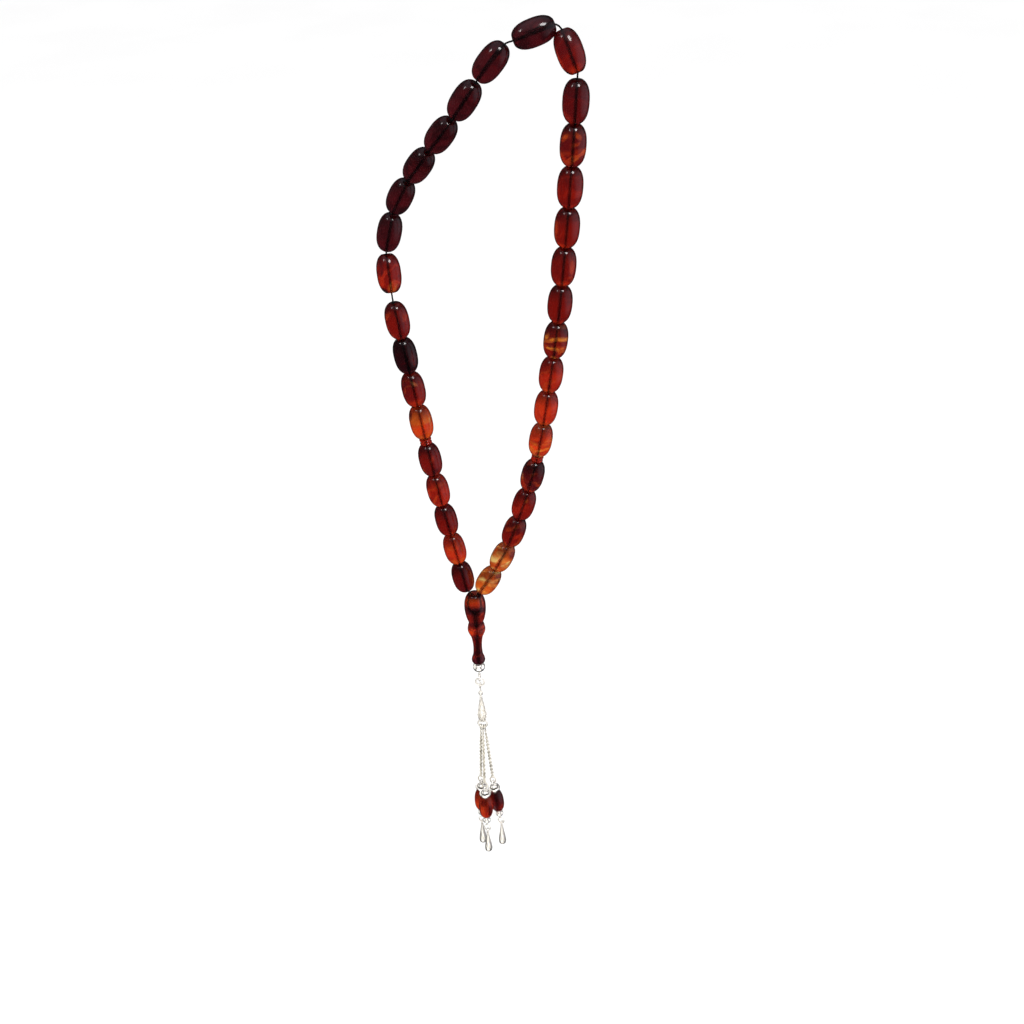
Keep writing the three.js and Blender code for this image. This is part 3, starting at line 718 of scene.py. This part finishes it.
TWIST = 1.1  # millimetres along the string for each of its three strands to come round once


def string(name, points, step=0.5):
    """A three-stranded stretch of the string along points in metres."""
    def section(angle, length):
        turned = angle - 2 * math.pi * length / (3 * TWIST)
        return STRING_RADIUS * (0.92 + 0.08 * math.cos(3 * turned))

    path = [p / MM for p in smooth_line(points, step * MM)]
    shape = Shape().tube(path, STRING_RADIUS, sides=12, section=section)
    thing = piece(name, shape, sharp=60)
    thing.data.materials.append(STRING)
    return thing


def through(names):
    """The upper and the lower end of each bead's bore, one bead after the other."""
    return [bead_end(node, up) for node in names for up in (True, False)]


def bead_names(first, last):
    step = 1 if last >= first else -1
    return [f"bead_{i:02d}" for i in range(first, last + step, step)]


def along_bore(node, up, inside):
    """A point inside a bead's bore, that many millimetres from its upper or lower end."""
    end = bead_end(node, up)
    return end + (BEADS[node][0] - end).normalized() * inside * MM


STRAIGHT = 1.0  # how far the bare string goes on in line with the bore below it
INSIDE = 3.0  # how far inside a bore one stretch of string takes over from the next


def make_strings():
    right = [*bead_names(15, 6), "spacer_disc_right", *bead_names(5, 1)]
    left = [*bead_names(25, 28), "spacer_disc_left", *bead_names(29, 33)]
    for side, names in (("right", right), ("left", left)):
        ends = through(names)
        arm = string("string_arm_" + side, [
            along_bore(names[0], True, INSIDE), *ends[1:-1], along_bore(names[-1], False, INSIDE)])
        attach(arm, "loop")
        if side == "right":
            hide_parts("hanging_cord")

    # Bead 16 hangs from its upper end, so its lower end faces the right arm. Bead 17 lies
    # across the pinch, and the palm's beads run on downwards.
    pinched_centre, _, pinched_place = BEADS["bead_17"]
    across = pinched_place.to_3x3().col[2] * (BEADS["bead_17"][1] / 2)
    across = across if across.x > 0 else -across
    held = [
        along_bore("bead_16", False, INSIDE), bead_end("bead_16", True),
        pinched_centre + across, pinched_centre - across,
        *through(bead_names(18, 23)),
        bead_end("bead_24", True), along_bore("bead_24", False, INSIDE),
    ]
    palm = string("string_held", held)
    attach(palm, "held")
    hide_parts("held_cord")

    for side, above, below in (("right", "bead_16", "bead_15"), ("left", "bead_24", "bead_25")):
        high, low = bead_end(above, False), bead_end(below, True)
        straight = (low - BEADS[below][0]).normalized() * STRAIGHT * MM
        bare = string("string_bare_" + side, [
            along_bore(above, False, INSIDE), high, low + straight, low,
            along_bore(below, True, INSIDE)], 0.25)
        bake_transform(bare)

    for side, node, sign in (("right", "bead_01", 1), ("left", "bead_33", -1)):
        x = sign * STRING_RADIUS * 1.05
        wall = sign * (CHAMBER_RADIUS - STRING_RADIUS - 0.08)
        down = [MEET + Vector(p) * MM for p in (
            (wall, 0, -2.6), (wall, 0, -7.0), (x, 0, -9.2), (x, 0, -16.0), (x, 0, -26.0),
            (x, 0, BALL_SOCKET_BOTTOM + 0.3))]
        mouth = MEET + Vector((sign * 1.05, 0, -1.1)) * MM
        path = [along_bore(node, False, INSIDE), bead_end(node, False), mouth, *down]
        lead = string("string_imame_" + side, path)
        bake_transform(lead)
        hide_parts("imame_cord")


make_strings()

# ---------------------------------------------------------------- imame

# Painted light in the bands: the flame and orange bands from -5.4 to -2.2 mm are a painted glow of
# light passing through the string chamber, and the near-black bands at the chamber's floor, -7.7 mm,
# and at the mouth, -0.6 mm, are painted shade.
IMAME_LOOK = dict(
    body=CHERRY, cloud=BURGUNDY, streak=FLAME, cloudy=0.15, streaky=0.3, density=46,
    bands=[
        (-36.0, PLUM), (-33.0, PLUM), (-30.0, BURGUNDY), (-24.0, CHERRY), (-20.2, CHERRY),
        (-19.0, FLAME), (-17.4, FLAME), (-16.4, BURGUNDY), (-14.0, BURGUNDY), (-11.4, CHERRY),
        (-10.0, CHERRY), (-9.2, PLUM), (-7.7, NEAR_BLACK), (-6.2, PLUM), (-5.4, FLAME),
        (-4.6, FLAME), (-3.6, ORANGE), (-2.2, ORANGE), (-1.4, PLUM), (-0.6, NEAR_BLACK)],
    patches=[
        ((-3.9, 0.0, -4.0), 1.5, BURGUNDY, 0, 2.2), ((3.9, 0.0, -4.0), 1.5, BURGUNDY, 0, 2.2),
        ((2.6, -2.6, -17.6), 2.2, PLUM)])


def imame_shape():
    """One turned piece: an oval head, a neck groove, a collar, a waist and a flared foot."""
    foot_to_head = smooth_line([
        (1.2, 0, IMAME_BOTTOM), (1.75, 0, -34.8), (2.3, 0, -34.35), (2.64, 0, -33.4),
        (2.42, 0, -32.1), (1.95, 0, -30.6), (1.72, 0, -28.0), (1.72, 0, -26.0), (1.85, 0, -24.2),
        (2.3, 0, -21.4), (3.05, 0, -19.5), (3.38, 0, -18.4), (3.42, 0, -17.7),
    ], 0.45)
    collar = smooth_line([
        (3.42, 0, -17.7), (3.3, 0, -16.9), (3.08, 0, -16.72), (3.22, 0, -16.5), (3.12, 0, -15.8),
        (2.85, 0, -15.45), (2.72, 0, -15.0), (2.74, 0, -14.3), (2.95, 0, -13.75),
    ], 0.2)
    head = smooth_line([
        (2.95, 0, -13.75), (3.4, 0, -12.3), (3.93, 0, -9.6), (4.1, 0, -6.9), (3.86, 0, -4.1),
        (3.1, 0, -1.9), (2.35, 0, -1.0), (1.95, 0, IMAME_TOP),
    ], 0.45)
    outline = [(p.x, p.z) for p in [*foot_to_head, *collar[1:], *head[1:]]]
    bore = [
        (1.5, IMAME_TOP), (1.5, -1.6), (CHAMBER_RADIUS, -2.3), (CHAMBER_RADIUS, -5.0),
        (CHAMBER_RADIUS, -7.6), (IMAME_BORE_RADIUS, CHAMBER_BOTTOM), (IMAME_BORE_RADIUS, -17),
        (IMAME_BORE_RADIUS, -26), (IMAME_BORE_RADIUS, IMAME_BOTTOM),
    ]
    return Shape().turned([*outline, *bore], segments=64, closed=True)


def make_imame():
    """The imame, with walls inside that light passes straight through."""
    thing = piece("amber_imame", imame_shape(), at(MEET), sharp=50)
    dress(thing, "imame", amber("amber_of_imame", seed=4.1, **IMAME_LOOK))
    thing.data.materials.append(INNER_WALL)
    for face in thing.data.polygons:
        inside = all(
            math.hypot(*thing.data.vertices[v].co.xy) < (CHAMBER_RADIUS + 0.01) * MM
            for v in face.vertices)
        level = abs(face.normal.z) > 0.9
        if inside and not level and face.center.z > (CHAMBER_BOTTOM - 0.1) * MM:
            face.material_index = 1


make_imame()

# ---------------------------------------------------------------- tassel


def arc(radius, centre, start, end, steps, half_height=None):
    """Outline points on a ball about (0, centre), or one squeezed along Z, between two angles
    above its waist."""
    points = []
    for i in range(steps + 1):
        a = math.radians(start + (end - start) * i / steps)
        points.append((radius * math.cos(a), centre + (half_height or radius) * math.sin(a)))
    return points


def make_ball():
    """The ball under the imame, with the string's socket in it and a wire eye below."""
    shape = Shape()
    skin = arc(BALL_RADIUS, BALL_CENTRE, -78, 62, 26, BALL_HALF_HEIGHT)
    top = skin[-1][1]
    outline = [
        (0, BALL_CENTRE - BALL_HALF_HEIGHT), *skin, (1.04, top + 0.03),
        (IMAME_BORE_RADIUS, top - 0.05), (IMAME_BORE_RADIUS, BALL_SOCKET_BOTTOM),
        (0, BALL_SOCKET_BOTTOM)]
    shape.turned(outline, segments=56)
    eye_top = JUMP_RING_TOP + EYE_RADIUS
    shape.tube([(0, 0, eye_top), (0, 0, BALL_SOCKET_BOTTOM - 0.6)], WIRE_RADIUS, sides=12)
    for turn in range(4):  # the eye's wire is wound round its own stem
        place = (0, 0, eye_top + 0.4 + 0.34 * turn)
        shape.torus(WIRE_RADIUS * 1.45, WIRE_RADIUS * 0.6, place, "z", 18, 8)
    shape.torus(EYE_RADIUS, WIRE_RADIUS, (0, 0, JUMP_RING_TOP), "x")
    dress(piece("silver_ball", shape, at(MEET)), "tassel_ball", SILVER)


def make_jump_ring():
    """A ring of wire, its ends almost closed on each other."""
    ring = Shape().torus(
        JUMP_RING_RADIUS, RING_WIRE_RADIUS, (0, 0, JUMP_RING_CENTRE), "y", 40, 12, gap=0.012)
    dress(piece("silver_jump_ring", ring, at(MEET)), "jump_ring", PALE_SILVER)


def granules(shape, count, radius, height, size):
    """A ring of small silver balls joins the shape."""
    for a in around(count):
        ball = Shape().turned([(0, -size), *arc(size, 0, -60, 60, 4), (0, size)], segments=8)
        shape.add(ball, Matrix.Translation((radius * math.cos(a), radius * math.sin(a), height)))


def drop_radius(height):
    """The filigree drop's outer radius: a slim cone above, fullest low down."""
    t = (height - DROP_BOTTOM) / (DROP_TOP - DROP_BOTTOM)
    stops = [
        (0.0, 1.2), (0.08, 1.45), (0.2, 1.95), (0.28, 1.97), (0.45, 1.55), (0.65, 1.2),
        (0.85, 0.78), (1.0, 0.5)]
    for (t0, r0), (t1, r1) in zip(stops, stops[1:]):
        if t <= t1:
            share = max(0.0, (t - t0) / (t1 - t0))
            return r0 + (r1 - r0) * share * share * (3 - 2 * share)
    return stops[-1][1]


def make_drop():
    """The filigree drop: crossing wires round a core, its base, neck, eye and loop."""
    shape = Shape()
    wire, turns, wires, steps, core_steps = 0.19, 0.85, 6, 40, 20
    length = DROP_TOP - DROP_BOTTOM
    for direction in (1, -1):
        for k in range(wires):
            path = []
            for i in range(steps + 1):
                t = i / steps
                h = DROP_BOTTOM + 0.3 + (length - 0.5) * t
                r = max(0.3, drop_radius(h) - wire * (1 if direction > 0 else 1.3))
                a = 2 * math.pi * (k / wires + direction * turns * t)
                path.append((r * math.cos(a), r * math.sin(a), h))
            shape.tube(path, wire, sides=6)
    core = [(0, DROP_BOTTOM + 0.2)]
    for i in range(1, core_steps):
        h = DROP_BOTTOM + 0.2 + (length - 0.4) * i / core_steps
        core.append((max(0.25, drop_radius(h) * 0.78), h))
    shape.turned([*core, (0, DROP_TOP)], segments=28)
    shape.turned([
        (0, DROP_BOTTOM - 0.15), (0.95, DROP_BOTTOM - 0.1), (1.2, DROP_BOTTOM + 0.2),
        (1.0, DROP_BOTTOM + 0.55), (0, DROP_BOTTOM + 0.6)], segments=24)
    granules(shape, 10, 1.3, DROP_BOTTOM + 0.35, 0.27)
    shape.turned([
        (0, DROP_TOP - 0.4), (0.5, DROP_TOP - 0.3), (0.6, DROP_TOP + 0.1), (0.34, DROP_TOP + 0.5),
        (0.3, DROP_TOP + 1.2), (0.78, DROP_TOP + 1.55), (0.98, DROP_TOP + 2.15),
        (0.8, DROP_TOP + 2.75), (0, DROP_TOP + 3.1)], segments=24)
    neck = [(0, 0, DROP_TOP + 2.9), (0, 0, JUMP_RING_BOTTOM - EYE_RADIUS)]
    shape.tube(neck, WIRE_RADIUS, sides=10)
    shape.torus(EYE_RADIUS, WIRE_RADIUS, (0, 0, JUMP_RING_BOTTOM), "x")
    shape.torus(DROP_LOOP_RADIUS, RING_WIRE_RADIUS, (0, 0, DROP_LOOP_CENTRE), "y", 40, 12)
    dress(piece("silver_filigree_drop", shape, at(MEET)), "filigree_drop", PALE_SILVER)


def link_shape(half_length, half_width, wire, steps=18, sides=7):
    """One oval link about the origin, long along Z and facing Y."""
    path = [
        Vector((half_width * math.cos(a), 0, half_length * math.sin(a))) for a in around(steps)]
    rows = []
    for i, p in enumerate(path):
        out = (path[(i + 1) % steps] - path[i - 1]).normalized().cross(BACK)
        rows.append([
            p + out * (wire * math.cos(b)) + BACK * (wire * math.sin(b))
            for b in reversed(around(sides))
        ])
    return Shape().grid(rows, closed_rows=True)


def oval_ring(shape, centre, steps=36, sides=10):
    """An oval ring of wire about a centre, taller than wide and facing Y, joins the shape."""
    rows = []
    for a in around(steps):
        x, z = math.cos(a), math.sin(a)
        p = Vector(centre) + Vector((OVAL_RING_WIDTH * x, 0, OVAL_RING_HEIGHT * z))
        out = Vector((x / OVAL_RING_WIDTH, 0, z / OVAL_RING_HEIGHT)).normalized()
        rows.append([
            p + out * (WIRE_RADIUS * math.cos(b)) + BACK * (WIRE_RADIUS * math.sin(b))
            for b in around(sides)
        ])
    shape.grid(rows, closed_rows=True)


def make_chain(side, place):
    """A curb chain from its eye on the drop's loop down to its end ring, painted dark below as shade.
    place is -1, 0 or 1, from left to right round the loop."""
    shape = Shape()
    ring_centre = (PENDANTS[side].translation - MEET) / MM + UP * OVAL_RING_HEIGHT
    out = place * CHAIN_SPREAD
    top = Vector((DROP_LOOP_RADIUS * math.sin(out), 0,
                  DROP_LOOP_CENTRE - DROP_LOOP_RADIUS * math.cos(out)))
    shape.torus(EYE_RADIUS - 0.05, WIRE_RADIUS - 0.03, top, "x")
    oval_ring(shape, ring_centre)
    start = top - UP * (EYE_RADIUS - 0.15)
    run = ring_centre + UP * (OVAL_RING_HEIGHT - 0.1) - start
    wire, half_width, pitch, twist = 0.2, 0.5, 1.05, 42
    count = round(run.length / pitch)
    half_length = run.length / count * 0.5 + 1.35 * wire
    lean = UP.rotation_difference(run).to_matrix().to_4x4()
    for i in range(count):
        middle = start + run * ((i + 0.5) / count)
        grow = min(1.0, 0.55 + 0.45 * i / 8)  # the first links are finer, under the loop
        turn = Matrix.Rotation(math.radians(twist if i % 2 else -twist), 4, "Z")
        link = link_shape(half_length, half_width * grow, wire * grow)
        shape.add(link, Matrix.Translation(middle) @ lean @ turn)
    chain = dress(piece("silver_chain_" + side, shape, at(MEET)), "chain_" + side, CHAIN_SILVER)
    # Painted shade: the end ring's lowest part is painted dark.
    ring_bottom = ring_centre.z - 0.72 * OVAL_RING_HEIGHT
    paint_shade(chain, lambda p: p.z < ring_bottom)


BEAD_HALF = BEADS["tassel_bead_front"][1] / MM / 2
BEAD_TOP = TASSEL_BEAD_MIDDLE + BEAD_HALF
BEAD_LOW = TASSEL_BEAD_MIDDLE - BEAD_HALF
CAP_GAP = 0.12  # between a cap and the bead
CAP_BORE_RADIUS = WIRE_RADIUS + 0.1
BOTTOM_CAP_LENGTH = 3.6


def make_pin(side):
    """A pin through the bead and its caps, with an eye above and an oval loop below."""
    pin = Shape().torus(EYE_RADIUS, WIRE_RADIUS, (0, 0, 0), "x")
    loop_top = PIN_LOOP_CENTRE + OVAL_RING_HEIGHT
    pin.tube([(0, 0, -EYE_RADIUS), (0, 0, loop_top)], WIRE_RADIUS, sides=12)
    oval_ring(pin, (0, 0, PIN_LOOP_CENTRE))
    dress(piece("silver_pin_" + side, pin, PENDANTS[side]), "eye_pin_" + side, SILVER)


def make_top_cap(side):
    """A bowl with a small dome set in it, painted dark where the two meet, as shade in the groove."""
    low = BEAD_TOP + CAP_GAP
    bowl = arc(2.48, low + 1.75, -62, 16, 18, 1.74)
    dome = arc(1.62, low + 1.98, -12, 78, 14, TOP_CAP_TOP - low - 1.98)
    cap = Shape().turned([
        (CAP_BORE_RADIUS, low + 0.25), (1.0, low), (1.12, low + 0.05), *bowl, (2.22, low + 2.34),
        (1.80, low + 2.26), (1.70, low + 1.60), *dome, (CAP_BORE_RADIUS, TOP_CAP_TOP + 0.02),
    ], segments=56, closed=True)
    cap.torus(1.56, 0.12, (0, 0, low + 0.28), "z", 32, 8)
    cap = dress(piece("silver_top_cap_" + side, cap, PENDANTS[side]), "top_cap_" + side, SILVER)
    # Painted shade: the groove between bowl and dome is painted dark.
    paint_shade(cap, lambda p: low + 1.9 < p.z < low + 2.5 and 1.4 < math.hypot(p.x, p.y) < 1.66)


def make_bottom_cap(side):
    """A ball on a collar, painted dark underneath as shade."""
    high = BEAD_LOW - CAP_GAP
    low = high - BOTTOM_CAP_LENGTH
    ball_middle, ball_half_height = low + 1.4, 1.3
    ball = arc(1.65, ball_middle, -64, 50, 14, ball_half_height)
    cap = Shape().turned([
        (CAP_BORE_RADIUS, low + 0.1), (0.6, low + 0.12), *ball, (0.9, high - 0.95),
        (1.1, high - 0.8), (1.38, high - 0.5), (1.4, high - 0.2), (1.2, high - 0.02),
        (CAP_BORE_RADIUS, high),
    ], segments=44, closed=True)
    cap = piece("silver_bottom_cap_" + side, cap, PENDANTS[side])
    dress(cap, "bottom_cap_" + side, SILVER)
    # Painted shade: the ball's underside is painted dark, standing for the dark below reflected in it.
    paint_shade(cap, lambda p: p.z < ball_middle - ball_half_height * math.sin(math.radians(36)))


LEAF_LENGTH = 10.8
LEAF_RIBS = 9


def make_leaf(side):
    """A ribbed drop, fullest low down, that hangs by an eye in the pin's loop."""
    top = -EYE_RADIUS - 0.6
    bottom = top - LEAF_LENGTH

    def ribbed(angle, radius, height):
        return radius * (0.93 + 0.07 * abs(math.cos(angle * LEAF_RIBS / 2 + height * 0.7)))

    line = smooth_line([
        (0.9, 0, bottom + 0.02), (1.25, 0, bottom + 0.15), (1.52, 0, bottom + 0.6),
        (1.62, 0, bottom + 1.3), (1.52, 0, bottom + 2.8), (1.3, 0, bottom + 4.6),
        (0.98, 0, bottom + 6.8), (0.66, 0, bottom + 9.0), (0.42, 0, top)], 0.35)
    outline = [(0, bottom), *[(p.x, p.z) for p in line], (0, top + 0.1)]
    leaf = Shape().turned(outline, segments=72, wave=ribbed)
    granules(leaf, 8, 0.45, top - 0.1, 0.22)
    leaf.tube([(0, 0, -EYE_RADIUS), (0, 0, top - 0.3)], WIRE_RADIUS, sides=10)
    leaf.torus(EYE_RADIUS, WIRE_RADIUS, (0, 0, 0), "x")
    dress(piece("silver_leaf_" + side, leaf, LEAVES[side]), "leaf_" + side, PALE_SILVER)


make_ball()
make_jump_ring()
make_drop()
for side, place in (("front", 0), ("right", 1), ("left", -1)):
    make_chain(side, place)
    for make in (make_pin, make_top_cap, make_bottom_cap, make_leaf):
        make(side)

# ---------------------------------------------------------------- studio

FLOOR_BELOW = 30.0  # the floor lies this far under the lowest leaf
FLOOR_SIZE = 12.0  # metres


def make_floor():
    m = Nodes("pale_floor")
    mottle = m.noise(m.coords(), 6.0)
    colour = m.ramp(mottle, [(0.3, 0.93), (0.7, 0.95)])
    material = m.output(m.node("ShaderNodeBsdfPrincipled", inputs={
        "Base Color": colour, "Roughness": 0.9}))
    shape = Shape()
    half = FLOOR_SIZE / 2 / MM
    shape.verts = [Vector((x * half, y * half, 0)) for x, y in ((-1, -1), (1, -1), (1, 1), (-1, 1))]
    shape.faces = [(0, 1, 2, 3)]
    floor = piece("floor", shape, at(Vector((0, 0, cad_box[0].z - FLOOR_BELOW * MM))))
    floor.data.materials.append(material)
    floor.visible_transmission = False
    floor.visible_glossy = False


def make_world():
    """White to the camera. Seen through the amber it is bright from the horizon up and dark
    below; reflected in it, it is a dim room with a window on the right and a pale ceiling."""
    w = Nodes("studio", world=True)
    bpy.context.scene.world = w.owner
    direction = w.node("ShaderNodeTexCoord").outputs["Generated"]
    height = w.node("ShaderNodeSeparateXYZ", inputs={0: direction}).outputs["Z"]
    share = w.spread(height, 0.0, 1.0, -1.0, 1.0)
    light = w.ramp(share, [
        (0.0, 0.15), (0.05, 0.32), (0.17, 0.75), (0.30, 1.0), (1.0, 1.0)], smooth=False)
    across = w.node("ShaderNodeSeparateXYZ", inputs={0: direction}).outputs["X"]
    window = w.ramp(across, [(0.62, 0), (0.92, 1)])
    above = w.ramp(share, [(0.78, 0), (0.97, 0.8)])
    open_sides = w.mix(1.0, window, above, "LIGHTEN")
    room = w.mix(open_sides, (0.02, 0.02, 0.023, 1), (0.32, 0.30, 0.35, 1))
    path = w.node("ShaderNodeLightPath").outputs
    mirrored = w.math(
        "MULTIPLY", path["Is Reflection Ray"], w.math("SUBTRACT", 1.0, path["Is Diffuse Ray"]))
    diffused = w.mix(path["Is Diffuse Ray"], light, (1.1, 1.1, 1.1, 1))
    colour = w.mix(mirrored, diffused, room)
    colour = w.mix(path["Is Camera Ray"], colour, (1, 1, 1, 1))
    background = w.node("ShaderNodeBackground", inputs={"Color": colour, "Strength": 1.0})
    w.node("ShaderNodeOutputWorld", inputs={"Surface": background.outputs[0]})


def area_light(name, place, aim, size, power, shape="DISK"):
    data = bpy.data.lights.new(name, "AREA")
    data.shape = shape
    data.size = size
    data.energy = power
    light = bpy.data.objects.new(name, data)
    light.location = place
    light.rotation_mode = "QUATERNION"
    light.rotation_quaternion = (aim - place).to_track_quat("-Z", "Y")
    light.visible_camera = False
    bpy.context.scene.collection.objects.link(light)
    return light


# Each lamp's place from the object's middle and its size, in metres, and its power in watts.
LAMPS = {
    "lamp_left": ((-0.30, -0.25, 0.60), 0.12, 0.25),
    "lamp_right": ((0.26, -0.22, 0.62), 0.20, 1.2),
}
# Each panel's place, likewise, and its share of the power.
PANELS = {
    "front_low": ((0.1, -0.8, -0.45), 1.5), "front_high": ((0.0, -0.7, 0.60), 1.0),
    "back": ((-0.1, 0.9, 0.25), 1.0), "left": ((-0.9, -0.1, 0.0), 1.0),
    "right": ((0.9, 0.1, 0.0), 1.0), "above": ((0.05, 0.05, 0.9), 1.0),
}
PANEL_SIZE = 1.3  # metres
PANEL_POWER = 5.0


def silver_tent(middle):
    """Large white panels that light only the silver, as a photographer's tent does."""
    lit = bpy.data.collections.new("silver_pieces")
    for thing in bpy.data.objects:
        if thing.name.startswith("silver_"):
            lit.objects.link(thing)
    for side, (place, share) in PANELS.items():
        place = middle + Vector(place)
        panel = area_light(
            "panel_" + side, place, middle, PANEL_SIZE, PANEL_POWER * share, "SQUARE")
        panel.data.color = (1.0, 0.97, 0.91)
        panel.visible_transmission = False
        panel.light_linking.receiver_collection = lit


make_floor()
make_world()
middle = (cad_box[0] + cad_box[1]) / 2
for name, (place, size, power) in LAMPS.items():
    area_light(name, middle + Vector(place), middle, size, power)
silver_tent(middle)

scene = bpy.context.scene
scene.view_settings.view_transform = "Standard"
scene.view_settings.look = "None"

bpy.context.view_layer.update()
